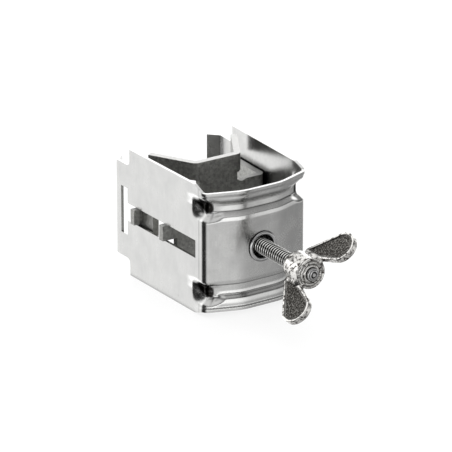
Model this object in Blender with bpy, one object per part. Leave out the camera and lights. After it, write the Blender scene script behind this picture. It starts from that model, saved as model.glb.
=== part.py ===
"""Folded sheet-metal pole clamp with a sliding jaw and a wing screw.

The screw runs along Y with its wings at the -Y end, the pole stands along Z between the jaw and the
rear flanges, and X is across the two walls. The shapes are drawn with y = 0 on the front face and
z = 0 at half height. The empty clamp_origin then lifts them so that the lower wall edges stand at
z = 0 and the world origin is under the middle of the whole clamp.
"""
import math

import bmesh
import bpy
from mathutils import Matrix, Vector

MM = 0.001
GAP = 0.3 * MM                                  # running gap between touching pieces

# Folded body
SHEET = 1.5 * MM                                # thickness of the body sheet
BODY_HALF_HEIGHT = 33.5 * MM
LIP_HALF_HEIGHT = 31.0 * MM                     # the front facets are lower than the walls
LIP_SLOPE_Y = (8.0 * MM, 15.0 * MM)             # where the edge climbs from the lip to the wall
FACET_X = 11.1 * MM                             # half width of the middle front facet
CORNER_X = 29.45 * MM                           # outer wall face at the front corner
CORNER_Y = 6.5 * MM                             # how far the side facets fall back
CORNER_RADIUS = 4.0 * MM
FACET_RADIUS = 3.0 * MM
WALL_FLARE = math.radians(1.46)                 # each wall opens outwards towards the rear
WALL_END_Y = 71.9 * MM
STRIP_HALF_HEIGHT = 24.8 * MM                   # the rear strip that carries the flange
STEP_RADIUS = 2.5 * MM
FLANGE_Y = 83.9 * MM                            # the flange bend
FLANGE_FROM_Y_AXIS = math.radians(45.0)         # how far it is folded inwards
FLANGE_LENGTH = 7.6 * MM
FLANGE_RADIUS = 2.6 * MM

# Pressed grooves: heights from mid height outwards, as (inner edge, floor, floor, lip edge)
FRONT_GROOVE = (15.5 * MM, 20.0 * MM, 23.5 * MM, 26.5 * MM)
CORNER_GROOVE = (13.5 * MM, 20.0 * MM, 24.0 * MM, 28.2 * MM)
FRONT_GROOVE_DEPTH = 2.8 * MM
CORNER_GROOVE_DEPTH = 3.2 * MM
GROOVE_END_Y = 17.3 * MM                        # where the grooves run out on the walls
LIP_FLARE = 0.4 * MM                            # the lips lean outwards a little
GROOVE_SLOPE_STEPS = 3
LEAST_LEVEL_STEP = 0.7 * MM                     # levels closer than this are merged

# Openings in the walls and the front
SLOT_HALF_HEIGHT = 4.6 * MM
SLOT_Y = (14.2 * MM, 75.0 * MM)
TALL_SLOT_HALF_HEIGHT = 12.4 * MM
TALL_SLOT_Y = (73.8 * MM, 79.6 * MM)
SLOT_RADIUS = 0.8 * MM
BUSH_HOLE_RADIUS = 6.75 * MM

# Sliding jaw
JAW_SHEET = 3.3 * MM
JAW_Y = 39.2 * MM                               # front face of its front plate
JAW_HALF_HEIGHT = 32.8 * MM
JAW_BEND_X = 13.1 * MM                          # where the V arms leave the front plate
JAW_BEND_RADIUS = 3.8 * MM
ARM_FROM_Y_AXIS = math.radians(29.5)
ARM_LENGTH = 26.5 * MM
ARM_LOW_EDGE = 23.3 * MM
RELIEF_RADIUS = 2.8 * MM                        # round notch between arm and side plate
RELIEF_X = 13.9 * MM
RELIEF_Z = 21.0 * MM
BAND_HALF_HEIGHT = 19.0 * MM                    # side plates and the plate between them
SIDE_GAP = 0.9 * MM                             # between a side plate and its wall
SIDE_END_Y = 67.8 * MM
WINDOW_X = 24.1 * MM                            # the band is cut open behind the front tabs
WINDOW_END_Y = 54.8 * MM
WINDOW_HALF_HEIGHT = 8.6 * MM
TAB_HALF_HEIGHT = 3.9 * MM
TAB_REACH = 2.2 * MM                            # how far the tabs stand out of the walls
JAW_HOLE_RADIUS = 3.1 * MM

# Threaded bush
BORE_RADIUS = 4.35 * MM
MOUTH_RADIUS = 6.0 * MM
MOUTH_DEPTH = 2.6 * MM
BUSH_RIM_RADIUS = 7.8 * MM
BUSH_RIM_THICKNESS = 0.8 * MM
BUSH_NUT_RADIUS = 8.8 * MM
BUSH_NUT_LENGTH = 8.0 * MM

# Screw spindle, its wing head and what holds the jaw on it
THREAD_RADIUS = 4.0 * MM
THREAD_PITCH = 1.75 * MM
SHANK_RADIUS = 3.0 * MM                         # inside the wing head
NECK_RADIUS = 2.7 * MM                          # through the jaw
CLIP_GROOVE_RADIUS = 2.0 * MM
SPINDLE_TAIL_Y = 46.6 * MM
WASHER_RADIUS = 6.5 * MM
WASHER_THICKNESS = 1.0 * MM
CLIP_RADIUS = 4.6 * MM
CLIP_THICKNESS = 0.8 * MM
HUB_RADIUS = 7.9 * MM
HUB_Y = (-42.4 * MM, -27.8 * MM)
HUB_RECESS_RADIUS = 5.8 * MM
HUB_RECESS_DEPTH = 0.9 * MM
RIVET_RADIUS = 3.3 * MM
RIVET_HEIGHT = 1.8 * MM
WING_ANGLE = math.radians(45.0)                 # the upper wing, from +X towards +Z
WING_THICKNESS = 3.2 * MM
WING_TIP = (18.3 * MM, -49.0 * MM)              # centre of the round tip: radius from the axis, y
WING_TIP_RADIUS = 7.7 * MM
WING_ROOT_Y = (-41.0 * MM, -30.0 * MM)
WING_ROOT_RADIUS = 9.4 * MM

PLAN_STEPS = {"facet": 2, "corner": 4, "fade": 4, "flange": 3, "jaw": 4}
ROUND_STEPS = 40
SMALL_ROUND_STEPS = 24
WING_TIP_STEPS = 14

# Helper solids
CUT_MARGIN = 10 * MM                            # how far a cutter stands out of the piece it cuts
PIN_REACH = 5 * MM                              # half length of a round cutter
OVERLAP = 2 * MM                                # how far joined shapes run into each other

WING_FRONT_Y = WING_TIP[1] - WING_TIP_RADIUS
FLANGE_REAR_Y = FLANGE_Y + FLANGE_LENGTH * math.cos(FLANGE_FROM_Y_AXIS)
CLAMP_ORIGIN = Vector((0.0, -(WING_FRONT_Y + FLANGE_REAR_Y) / 2, BODY_HALF_HEIGHT))
FROM_JAW = Vector((0.0, -JAW_Y, 0.0))           # the moving pieces hang from the front face of the jaw


# ---------------------------------------------------------------- helpers

def smooth_step(t):
    t = max(0.0, min(1.0, t))
    return t * t * (3.0 - 2.0 * t)


def metal(name, colour, roughness, metallic=1.0):
    material = bpy.data.materials.new(name)
    material.use_nodes = True
    shader = material.node_tree.nodes["Principled BSDF"]
    shader.inputs["Base Color"].default_value = (*colour, 1.0)
    shader.inputs["Roughness"].default_value = roughness
    shader.inputs["Metallic"].default_value = metallic
    return material


def add_object(name, bm, parent, material=None):
    bmesh.ops.recalc_face_normals(bm, faces=bm.faces)
    mesh = bpy.data.meshes.new(name)
    bm.to_mesh(mesh)
    bm.free()
    obj = bpy.data.objects.new(name, mesh)
    bpy.context.scene.collection.objects.link(obj)
    obj.parent = parent
    if material:
        mesh.materials.append(material)
        mesh.shade_smooth()
        mesh.set_sharp_from_angle(angle=math.radians(30))
    return obj


def add_empty(name, location, parent=None):
    empty = bpy.data.objects.new(name, None)
    empty.location = location
    empty.parent = parent
    bpy.context.scene.collection.objects.link(empty)
    return empty


def boolean(obj, tool, operation="DIFFERENCE"):
    """Cuts or joins with a helper object, which is left out of the model."""
    tool.hide_render = True
    tool.display_type = 'WIRE'
    modifier = obj.modifiers.new(tool.name, 'BOOLEAN')
    modifier.operation = operation
    modifier.object = tool
    modifier.solver = 'EXACT'


def fillet(before, corner, after, radius, steps):
    """Points of the arc that rounds the corner of the path before-corner-after."""
    to_before = (before - corner).normalized()
    to_after = (after - corner).normalized()
    half = to_before.angle(to_after) / 2
    centre = corner + (to_before + to_after).normalized() * (radius / math.sin(half))
    start = corner + to_before * (radius / math.tan(half)) - centre
    end = corner + to_after * (radius / math.tan(half)) - centre
    turn = start.angle_signed(end)
    return [centre + Matrix.Rotation(-turn * i / steps, 2) @ start for i in range(steps + 1)]


def rounded(points, radius, steps):
    """The closed polygon through the points, with every corner rounded."""
    outline = []
    for i, corner in enumerate(points):
        outline += fillet(points[i - 1], corner, points[(i + 1) % len(points)], radius, steps)
    return outline


def offset_left(path, distance):
    """The open path moved to its left by the distance, with mitred corners."""
    moved = []
    for i, point in enumerate(path):
        normals = []
        for a, b in ((i - 1, i), (i, i + 1)):
            if a >= 0 and b < len(path):
                along = (path[b] - path[a]).normalized()
                normals.append(Vector((-along.y, along.x)))
        normal = sum(normals, Vector((0.0, 0.0))).normalized()
        moved.append(point + normal * (distance / normal.dot(normals[0])))
    return moved


def mirrored_path(half):
    """A path that starts at the middle, completed with its mirror image in x = 0."""
    return [Vector((-p.x, p.y)) for p in reversed(half)] + half


def prism(outline, axis, low, high):
    """A straight prism. The outline holds the two coordinates that follow axis in cyclic order."""
    bm = bmesh.new()
    index = "XYZ".index(axis)

    def place(point, level):
        spot = [0.0, 0.0, 0.0]
        spot[index] = level
        spot[(index + 1) % 3] = point[0]
        spot[(index + 2) % 3] = point[1]
        return bm.verts.new(spot)

    bottom = [place(p, low) for p in outline]
    top = [place(p, high) for p in outline]
    bm.faces.new(bottom)
    bm.faces.new(list(reversed(top)))
    for i in range(len(outline)):
        j = (i + 1) % len(outline)
        bm.faces.new((bottom[i], top[i], top[j], bottom[j]))
    return bm


def box(x, y, z):
    return prism([Vector((a, b)) for a, b in ((x[0], y[0]), (x[1], y[0]), (x[1], y[1]), (x[0], y[1]))],
                 'Z', z[0], z[1])


def turned(profile, closed=False, steps=ROUND_STEPS):
    """A body turned about the Y axis from (radius, y) points. An open profile runs axis to axis."""
    bm = bmesh.new()
    rings = []
    for radius, y in profile:
        if radius == 0.0:
            rings.append([bm.verts.new((0.0, y, 0.0))])
            continue
        angles = [2 * math.pi * (k + 0.5) / steps for k in range(steps)]
        rings.append([bm.verts.new((radius * math.cos(a), y, radius * math.sin(a))) for a in angles])
    pairs = list(zip(rings, rings[1:]))
    if closed:
        pairs.append((rings[-1], rings[0]))
    for ring, following in pairs:
        for k in range(steps):
            n = (k + 1) % steps
            quad = [ring[k % len(ring)], ring[n % len(ring)],
                    following[n % len(following)], following[k % len(following)]]
            bm.faces.new(list(dict.fromkeys(quad)))
    return bm


def round_cutter(radius, steps=ROUND_STEPS):
    """A round pin along Y that passes through one sheet."""
    profile = [(0.0, -PIN_REACH), (radius, -PIN_REACH), (radius, PIN_REACH), (0.0, PIN_REACH)]
    return turned(profile, steps=steps)


# ---------------------------------------------------------------- folded body

def groove_share(z, heights):
    """How deep the groove is at this height, from 0 outside it to 1 on its floor."""
    inner_edge, inner_floor, lip_floor, lip_edge = heights
    height = abs(z)
    if height > lip_floor:
        return smooth_step((lip_edge - height) / (lip_edge - lip_floor))
    return smooth_step((height - inner_edge) / (inner_floor - inner_edge))


def groove_levels():
    """Heights at which the body sheet is drawn, from bottom to top."""
    heights = {0.0, LIP_HALF_HEIGHT, BODY_HALF_HEIGHT}
    for inner_edge, inner_floor, lip_floor, lip_edge in (FRONT_GROOVE, CORNER_GROOVE):
        for low, high in ((inner_edge, inner_floor), (lip_floor, lip_edge)):
            for i in range(GROOVE_SLOPE_STEPS + 1):
                heights.add(low + (high - low) * i / GROOVE_SLOPE_STEPS)
    kept = []
    for height in sorted(heights):
        if not kept or height - kept[-1] > LEAST_LEVEL_STEP:
            kept.append(height)
    return [-h for h in reversed(kept[1:])] + kept


def wall_x(y):
    return CORNER_X + math.tan(WALL_FLARE) * (y - CORNER_Y)


def body_outline(front_depth, corner_depth):
    """Outer face in plan from the middle of the front to the free end of the right flange."""
    slope = math.atan2(CORNER_Y, CORNER_X - FACET_X)
    flare = math.tan(WALL_FLARE)
    middle = Vector((0.0, front_depth))
    bend = Vector((FACET_X - front_depth * math.tan(slope / 2), front_depth))
    facet_rise = front_depth / math.cos(slope)
    corner_x = CORNER_X - corner_depth + flare * (facet_rise - FACET_X * math.tan(slope) - CORNER_Y)
    corner_x /= 1.0 - flare * math.tan(slope)
    corner = Vector((corner_x, (corner_x - FACET_X) * math.tan(slope) + facet_rise))
    along_wall = Vector((math.sin(WALL_FLARE), math.cos(WALL_FLARE)))
    flange_corner = Vector((wall_x(FLANGE_Y), FLANGE_Y))
    along_flange = Vector((-math.sin(FLANGE_FROM_Y_AXIS), math.cos(FLANGE_FROM_Y_AXIS)))
    flange_end = flange_corner + along_flange * FLANGE_LENGTH

    path = fillet(middle, bend, corner, FACET_RADIUS, PLAN_STEPS["facet"])
    path += fillet(bend, corner, corner + along_wall, CORNER_RADIUS, PLAN_STEPS["corner"])
    wall_start = path[-1].y
    for i in range(1, PLAN_STEPS["fade"] + 1):
        share = i / PLAN_STEPS["fade"]
        y = wall_start + (GROOVE_END_Y - wall_start) * share
        path.append(Vector((wall_x(y) - corner_depth * (1.0 - smooth_step(share)), y)))
    path += fillet(path[-1], flange_corner, flange_end, FLANGE_RADIUS, PLAN_STEPS["flange"])
    path.append(flange_end)
    return path


def folded_sheet():
    """The body sheet as one closed skin, before its edges and openings are cut."""
    bm = bmesh.new()
    rows = []
    for z in groove_levels():
        flare = -LIP_FLARE * smooth_step((abs(z) - CORNER_GROOVE[3]) / (LIP_HALF_HEIGHT - CORNER_GROOVE[3]))
        front_depth = FRONT_GROOVE_DEPTH * groove_share(z, FRONT_GROOVE) + flare
        corner_depth = CORNER_GROOVE_DEPTH * groove_share(z, CORNER_GROOVE) + flare
        outer = mirrored_path(body_outline(front_depth, corner_depth))
        inner = offset_left(outer, SHEET)
        loop = outer + list(reversed(inner))
        rows.append([bm.verts.new((p.x, p.y, z)) for p in loop])
    for low, high in zip(rows, rows[1:]):
        for i in range(len(low)):
            j = (i + 1) % len(low)
            bm.faces.new((low[i], low[j], high[j], high[i]))
    count = len(rows[0])
    for row in (rows[0], rows[-1]):
        for i in range(count // 2 - 1):
            bm.faces.new((row[i], row[i + 1], row[count - 2 - i], row[count - 1 - i]))
    bmesh.ops.dissolve_limit(bm, angle_limit=math.radians(0.3), verts=bm.verts, edges=bm.edges)
    return bm


def build_body(origin):
    material = metal("satin_sheet", (0.72, 0.73, 0.72), 0.28)
    body = add_object("clamp_body", folded_sheet(), origin, material)
    reach = CORNER_X + CUT_MARGIN
    far = BODY_HALF_HEIGHT + CUT_MARGIN
    rear = FLANGE_REAR_Y + CUT_MARGIN
    ahead = -CUT_MARGIN

    for side, name in ((1, "upper"), (-1, "lower")):
        step = [Vector(p) for p in ((rear, STRIP_HALF_HEIGHT), (rear, far), (WALL_END_Y, far))]
        step += fillet(Vector((WALL_END_Y, far)), Vector((WALL_END_Y, STRIP_HALF_HEIGHT)),
                       Vector((rear, STRIP_HALF_HEIGHT)), STEP_RADIUS, 4)
        lip_start, lip_end = LIP_SLOPE_Y
        lip = [Vector(p) for p in ((ahead, LIP_HALF_HEIGHT), (lip_start, LIP_HALF_HEIGHT),
                                   (lip_end, BODY_HALF_HEIGHT), (lip_end, far), (ahead, far))]
        for label, outline in (("step", step), ("lip", lip)):
            flipped = [Vector((p.x, p.y * side)) for p in outline]
            tool = add_object(f"{name}_{label}_cut", prism(flipped, 'X', -reach, reach), origin)
            boolean(body, tool)

    slot = [Vector(p) for p in (
        (SLOT_Y[0], -SLOT_HALF_HEIGHT), (TALL_SLOT_Y[0], -SLOT_HALF_HEIGHT),
        (TALL_SLOT_Y[0], -TALL_SLOT_HALF_HEIGHT), (TALL_SLOT_Y[1], -TALL_SLOT_HALF_HEIGHT),
        (TALL_SLOT_Y[1], TALL_SLOT_HALF_HEIGHT), (TALL_SLOT_Y[0], TALL_SLOT_HALF_HEIGHT),
        (TALL_SLOT_Y[0], SLOT_HALF_HEIGHT), (SLOT_Y[0], SLOT_HALF_HEIGHT))]
    boolean(body, add_object("slot_cut", prism(rounded(slot, SLOT_RADIUS, 2), 'X', -reach, reach), origin))
    boolean(body, add_object("bush_hole_cut", round_cutter(BUSH_HOLE_RADIUS), origin))


# ---------------------------------------------------------------- jaw

def jaw_outline(bend_x, end):
    """Closed outline in plan of a bent strip: front plate in the middle, a leg at each side."""
    middle = Vector((0.0, JAW_Y))
    bend = Vector((bend_x, JAW_Y))
    half = fillet(middle, bend, end, JAW_BEND_RADIUS, PLAN_STEPS["jaw"]) + [end]
    front = mirrored_path(half)
    return front + list(reversed(offset_left(front, JAW_SHEET)))


def side_face_x(y):
    """Outer face of a side plate, which runs beside its wall."""
    return wall_x(y) - SHEET / math.cos(WALL_FLARE) - SIDE_GAP


def build_jaw(carriage):
    material = metal("galvanised_plate", (0.42, 0.42, 0.41), 0.45)
    arm_end = Vector((JAW_BEND_X + ARM_LENGTH * math.sin(ARM_FROM_Y_AXIS),
                      JAW_Y + ARM_LENGTH * math.cos(ARM_FROM_Y_AXIS)))
    side_end = Vector((side_face_x(SIDE_END_Y), SIDE_END_Y))
    band = jaw_outline(side_face_x(JAW_Y), side_end)
    arms = jaw_outline(JAW_BEND_X, arm_end)
    plate_y = (JAW_Y, JAW_Y + JAW_SHEET)
    tab_z = (-TAB_HALF_HEIGHT, TAB_HALF_HEIGHT)

    def shape(name, bm, operation):
        tool = add_object(name, bm, carriage)
        tool.location = FROM_JAW
        boolean(jaw, tool, operation)

    jaw = add_object("pressure_jaw", prism(band, 'Z', -BAND_HALF_HEIGHT, BAND_HALF_HEIGHT),
                     carriage, material)
    jaw.location = FROM_JAW
    for side, name in ((1, "upper"), (-1, "lower")):
        low, high = sorted((side * ARM_LOW_EDGE, side * JAW_HALF_HEIGHT))
        web_low, web_high = sorted((side * (BAND_HALF_HEIGHT - OVERLAP), side * (ARM_LOW_EDGE + OVERLAP)))
        shape(f"{name}_arms", prism(arms, 'Z', low, high), 'UNION')
        web = box((-JAW_BEND_X + OVERLAP, JAW_BEND_X - OVERLAP), plate_y, (web_low, web_high))
        shape(f"{name}_web", web, 'UNION')
        for hand in (1, -1):
            notch = round_cutter(RELIEF_RADIUS, SMALL_ROUND_STEPS)
            bmesh.ops.translate(notch, verts=notch.verts,
                                vec=(hand * RELIEF_X, JAW_Y + JAW_SHEET / 2, side * RELIEF_Z))
            shape(f"{name}_notch_{'right' if hand > 0 else 'left'}", notch, 'DIFFERENCE')

    for hand, name in ((1, "right"), (-1, "left")):
        def across(inner, outer):
            return tuple(sorted((hand * inner, hand * outer)))

        window = box(across(WINDOW_X, CORNER_X + CUT_MARGIN), (JAW_Y - OVERLAP, WINDOW_END_Y),
                     (-WINDOW_HALF_HEIGHT, WINDOW_HALF_HEIGHT))
        shape(f"{name}_window", window, 'DIFFERENCE')
        front_tab = box(across(WINDOW_X - OVERLAP, wall_x(JAW_Y) + TAB_REACH), plate_y, tab_z)
        shape(f"{name}_front_tab", front_tab, 'UNION')
        rear_tab = box(across(side_face_x(SIDE_END_Y) - JAW_SHEET / 2, wall_x(SIDE_END_Y) + TAB_REACH),
                       (SIDE_END_Y - JAW_SHEET, SIDE_END_Y - 0.02 * MM), tab_z)
        shape(f"{name}_rear_tab", rear_tab, 'UNION')

    hole = round_cutter(JAW_HOLE_RADIUS, SMALL_ROUND_STEPS)
    bmesh.ops.translate(hole, verts=hole.verts, vec=(0.0, JAW_Y + JAW_SHEET / 2, 0.0))
    shape("jaw_hole", hole, 'DIFFERENCE')


def washer(name, inner, outer, y, thickness, parent, material):
    ring = turned([(inner, y), (outer, y), (outer, y + thickness), (inner, y + thickness)],
                  closed=True, steps=28)
    obj = add_object(name, ring, parent, material)
    obj.location = FROM_JAW
    return obj


# ---------------------------------------------------------------- bush and screw

def build_bush(origin):
    barrel = BUSH_HOLE_RADIUS - GAP
    rim_back = -GAP
    rim_front = rim_back - BUSH_RIM_THICKNESS
    nut_front = SHEET + GAP
    nut_back = nut_front + BUSH_NUT_LENGTH
    profile = [(BORE_RADIUS, rim_front + MOUTH_DEPTH), (MOUTH_RADIUS, rim_front),
               (BUSH_RIM_RADIUS - 0.4 * MM, rim_front), (BUSH_RIM_RADIUS, rim_front + 0.4 * MM),
               (BUSH_RIM_RADIUS, rim_back), (barrel, rim_back), (barrel, nut_front),
               (BUSH_NUT_RADIUS, nut_front), (BUSH_NUT_RADIUS, nut_back), (BORE_RADIUS, nut_back)]
    material = metal("bush_steel", (0.6, 0.6, 0.59), 0.3)
    add_object("threaded_bush", turned(profile, closed=True), origin, material)


def build_spindle(axis):
    shoulder_y = JAW_Y - WASHER_THICKNESS - 2 * GAP
    clip_y = JAW_Y + JAW_SHEET + GAP + WASHER_THICKNESS + GAP
    hub_floor = HUB_Y[0] + HUB_RECESS_DEPTH
    head_back = hub_floor - GAP
    profile = [(0.0, head_back - RIVET_HEIGHT), (RIVET_RADIUS - 0.8 * MM, head_back - RIVET_HEIGHT),
               (RIVET_RADIUS, head_back - RIVET_HEIGHT / 2), (RIVET_RADIUS, head_back),
               (SHANK_RADIUS, head_back), (SHANK_RADIUS, HUB_Y[1] + 0.5 * MM),
               (THREAD_RADIUS, HUB_Y[1] + 0.5 * MM), (THREAD_RADIUS, shoulder_y - 0.6 * MM),
               (THREAD_RADIUS - 0.6 * MM, shoulder_y), (NECK_RADIUS, shoulder_y),
               (NECK_RADIUS, clip_y - 0.1 * MM), (CLIP_GROOVE_RADIUS, clip_y - 0.1 * MM),
               (CLIP_GROOVE_RADIUS, clip_y + CLIP_THICKNESS + 0.1 * MM),
               (NECK_RADIUS, clip_y + CLIP_THICKNESS + 0.1 * MM),
               (NECK_RADIUS, SPINDLE_TAIL_Y - 0.5 * MM), (NECK_RADIUS - 0.5 * MM, SPINDLE_TAIL_Y),
               (0.0, SPINDLE_TAIL_Y)]
    spindle = add_object("screw_spindle", turned(profile, steps=32), axis,
                         metal("thread_steel", (0.62, 0.62, 0.61), 0.25))
    spindle.location = FROM_JAW
    washer("retaining_clip", CLIP_GROOVE_RADIUS + 0.3 * MM, CLIP_RADIUS, clip_y, CLIP_THICKNESS, axis,
           metal("clip_steel", (0.2, 0.2, 0.2), 0.4))


def tangent_point(point, centre, radius, side):
    """Where a line from the point touches the circle, on the chosen side of it."""
    to_point = point - centre
    angle = math.acos(radius / to_point.length)
    return centre + Matrix.Rotation(side * angle, 2) @ to_point.normalized() * radius


def wing_outline():
    """One wing in its own plane: distance from the screw axis, and y."""
    tip = Vector(WING_TIP)
    front = Vector((HUB_RADIUS - 0.2 * MM, WING_ROOT_Y[0]))
    back = Vector((WING_ROOT_RADIUS, WING_ROOT_Y[1]))
    first = tangent_point(front, tip, WING_TIP_RADIUS, 1) - tip
    last = tangent_point(back, tip, WING_TIP_RADIUS, -1) - tip
    sweep = (math.atan2(last.y, last.x) - math.atan2(first.y, first.x)) % (2 * math.pi)
    arc = [tip + Matrix.Rotation(sweep * i / WING_TIP_STEPS, 2) @ first for i in range(WING_TIP_STEPS + 1)]
    inside = SHANK_RADIUS + OVERLAP
    return [Vector((inside, WING_ROOT_Y[0])), front] + arc + [back, Vector((inside, WING_ROOT_Y[1]))]


def build_wing_head(axis):
    front_y, back_y = HUB_Y
    bore = SHANK_RADIUS + GAP
    profile = [(bore, front_y + HUB_RECESS_DEPTH), (HUB_RECESS_RADIUS, front_y + HUB_RECESS_DEPTH),
               (HUB_RECESS_RADIUS, front_y), (HUB_RADIUS - 0.7 * MM, front_y),
               (HUB_RADIUS, front_y + 0.7 * MM), (HUB_RADIUS, back_y - 1.0 * MM),
               (HUB_RADIUS - 1.0 * MM, back_y), (bore, back_y)]
    head = add_object("wing_head", turned(profile, closed=True), axis,
                      metal("cast_nickel", (0.5, 0.5, 0.48), 0.4))
    head.location = FROM_JAW
    for turn, name in ((0.0, "upper"), (math.pi, "lower")):
        wing = prism([Vector((p.y, p.x)) for p in wing_outline()], 'Z', -WING_THICKNESS / 2,
                     WING_THICKNESS / 2)
        # The prism holds (y, radius, thickness); this turns it to radius along X and y along Y.
        swap = Matrix(((0, 1, 0, 0), (1, 0, 0, 0), (0, 0, -1, 0), (0, 0, 0, 1)))
        lean = Matrix.Rotation(-WING_ANGLE + turn, 4, 'Y')
        bmesh.ops.transform(wing, matrix=lean @ swap, verts=wing.verts)
        tool = add_object(f"{name}_wing", wing, axis)
        tool.location = FROM_JAW
        boolean(head, tool, 'UNION')


def build_clamp():
    for obj in list(bpy.data.objects):
        bpy.data.objects.remove(obj, do_unlink=True)
    origin = add_empty("clamp_origin", CLAMP_ORIGIN)
    carriage = add_empty("jaw_carriage", (0.0, JAW_Y, 0.0), origin)
    axis = add_empty("spindle_axis", (0.0, 0.0, 0.0), carriage)
    build_body(origin)
    build_bush(origin)
    build_jaw(carriage)
    steel = metal("washer_steel", (0.5, 0.5, 0.5), 0.35)
    washer("thrust_washer", NECK_RADIUS + GAP, WASHER_RADIUS, JAW_Y - GAP - WASHER_THICKNESS,
           WASHER_THICKNESS, carriage, steel)
    washer("rear_washer", NECK_RADIUS + GAP, WASHER_RADIUS, JAW_Y + JAW_SHEET + GAP,
           WASHER_THICKNESS, carriage, metal("rear_washer_steel", (0.5, 0.5, 0.5), 0.35))
    build_spindle(axis)
    build_wing_head(axis)


build_clamp()
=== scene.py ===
"""Looks of a folded sheet-metal pole clamp with a sliding jaw and a wing screw.

Shapes are drawn with y = 0 on the front face of the body and z = 0 at half height, the screw along Y,
and are then moved to the place where the frame holds the clamp. Lengths are in metres.
"""
from math import acos, atan2, copysign, cos, exp, hypot, pi, radians, sin, tan

import bmesh
import bpy
from mathutils import Matrix, Vector, noise


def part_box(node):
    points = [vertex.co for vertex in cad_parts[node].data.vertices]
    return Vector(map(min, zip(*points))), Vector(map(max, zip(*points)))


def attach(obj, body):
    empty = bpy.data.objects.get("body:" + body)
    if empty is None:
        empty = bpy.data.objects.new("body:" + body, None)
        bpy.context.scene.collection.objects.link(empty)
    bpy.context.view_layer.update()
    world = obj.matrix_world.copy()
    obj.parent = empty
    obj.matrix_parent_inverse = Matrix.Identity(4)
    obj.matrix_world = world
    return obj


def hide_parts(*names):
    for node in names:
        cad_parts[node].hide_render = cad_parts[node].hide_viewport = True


MM = 0.001

# Folded body
SHEET = 1.5 * MM
FACET_X = 11.1 * MM  # half width of the middle front facet
CORNER_X = 29.45 * MM
CORNER_Y = 6.5 * MM
CORNER_RADIUS = 4 * MM
FACET_SLOPE = atan2(CORNER_Y, CORNER_X - FACET_X)
FACET_RADIUS = 24 * MM
WALL_FLARE = radians(1.46)
BODY_HALF_HEIGHT = 33.5 * MM
LIP_HALF_HEIGHT = 31 * MM
LIP_SLOPE_Y = (8 * MM, 15 * MM)
LIP_BASE = 28.6 * MM  # above this the rows follow the sloping top edge
LIP_FLARE = 0.4 * MM
WALL_END_Y = 71.9 * MM
STRIP_HALF_HEIGHT = 24.8 * MM
STEP_RADIUS = 2.5 * MM
STEP_TOP = STRIP_HALF_HEIGHT + STEP_RADIUS
FLANGE_Y = 83.9 * MM
FLANGE_FROM_Y_AXIS = radians(45)
FLANGE_LENGTH = 7.6 * MM
FLANGE_RADIUS = 2.6 * MM
STRIP_BASE = 22 * MM  # behind the step, the rows above this follow its edge
STRIP_END_Y = 81.2 * MM  # last station ahead of the flange's bend
SLOT_HALF_HEIGHT = 4.6 * MM
SLOT_START_Y = 14.2 * MM
TALL_SLOT_HALF_HEIGHT = 12.4 * MM
TALL_SLOT_Y = (73.8 * MM, 79.6 * MM)
BUSH_HOLE_RADIUS = 6.75 * MM
SHEET_EDGE_ROUND = 0.22 * MM
EDGE_TOLERANCE = 0.001 * MM
FACET_STATIONS = (9, 7.5, 6.2, 5.2, 4.4, 3.6, 2.8, 2.1, 1.4, 0.7)  # mm ahead of the corner's rounding
WALL_STATIONS = (22, 30, 38, 46, 54, 62, 67)  # y in mm
GROOVE_ROWS = 44
LIP_ROWS = 14
CORNER_SAVING = 0.6 * MM  # its rounding brings a corner's middle nearer

# Pressed grooves, by height from mid height outwards. Front: (height in mm, share of the depth), joined
# by straight lines. Corners: inner edge, start and end of the floor, lip edge.
FRONT_GROOVE_UPPER = ((16, 0), (18.1, 0.12), (20.1, 0.96), (23.2, 1.05), (24.2, 0.85), (26, 0.18), (27, 0))
FRONT_GROOVE_LOWER = ((15.2, 0), (17.2, 0.1), (18.3, 1), (21.5, 1), (23.1, 0.91), (24.9, 0.12),
                      (26.8, 0.02), (27.4, 0))
CORNER_GROOVE = (15.4 * MM, 19.8 * MM, 24 * MM, 28.4 * MM)
FRONT_GROOVE_DEPTH = 2.8 * MM
CORNER_GROOVE_DEPTH = 3.2 * MM
GROOVE_END_Y = 17.3 * MM
DENT_REACH = 5 * MM  # the deeper corner dent runs this far along the facet

# Painted shade and painted highlights, placed by the distance along the sheet from the middle of the corner
CREASE_SHADES = ((20.2 * MM, 0.9), (26.2 * MM, 0.2),  # painted shade lines along the front grooves: (height, strength)
           (-17.2 * MM, 0.9), (-23.5 * MM, 0.45), (-24.8 * MM, 0.8))
CREASE_SHADE_WIDTH = 0.3 * MM
CREASE_SHADE_FADE = 2 * MM  # they fade out over this much of the wall
WALL_SHADE_LINE = (4.5 * MM, 0.5 * MM, 0.3)  # upright painted shade line on the wall: distance, width, strength
DENT_SHADES = ((22.6 * MM, 3.4 * MM), (-21 * MM, 3.8 * MM))  # painted shade inside the corner dents: (middle height, half height)
DENT_ON_WALL = 9.6 * MM
DENT_ON_FACET = 3 * MM
DENT_LEAN = 0.25  # they rise by this share of the distance
DENT_SHADE_SOFTNESS = 0.25  # and fade out over this share of their reach
DENT_RIM_HIGHLIGHT = (1.22, 0.14)  # painted highlight on a rim: distance and width, as shares of the reach
DENT_RIM_HIGHLIGHT_START = (1 * MM, 3 * MM)  # where it starts on the wall, and its fade

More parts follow.
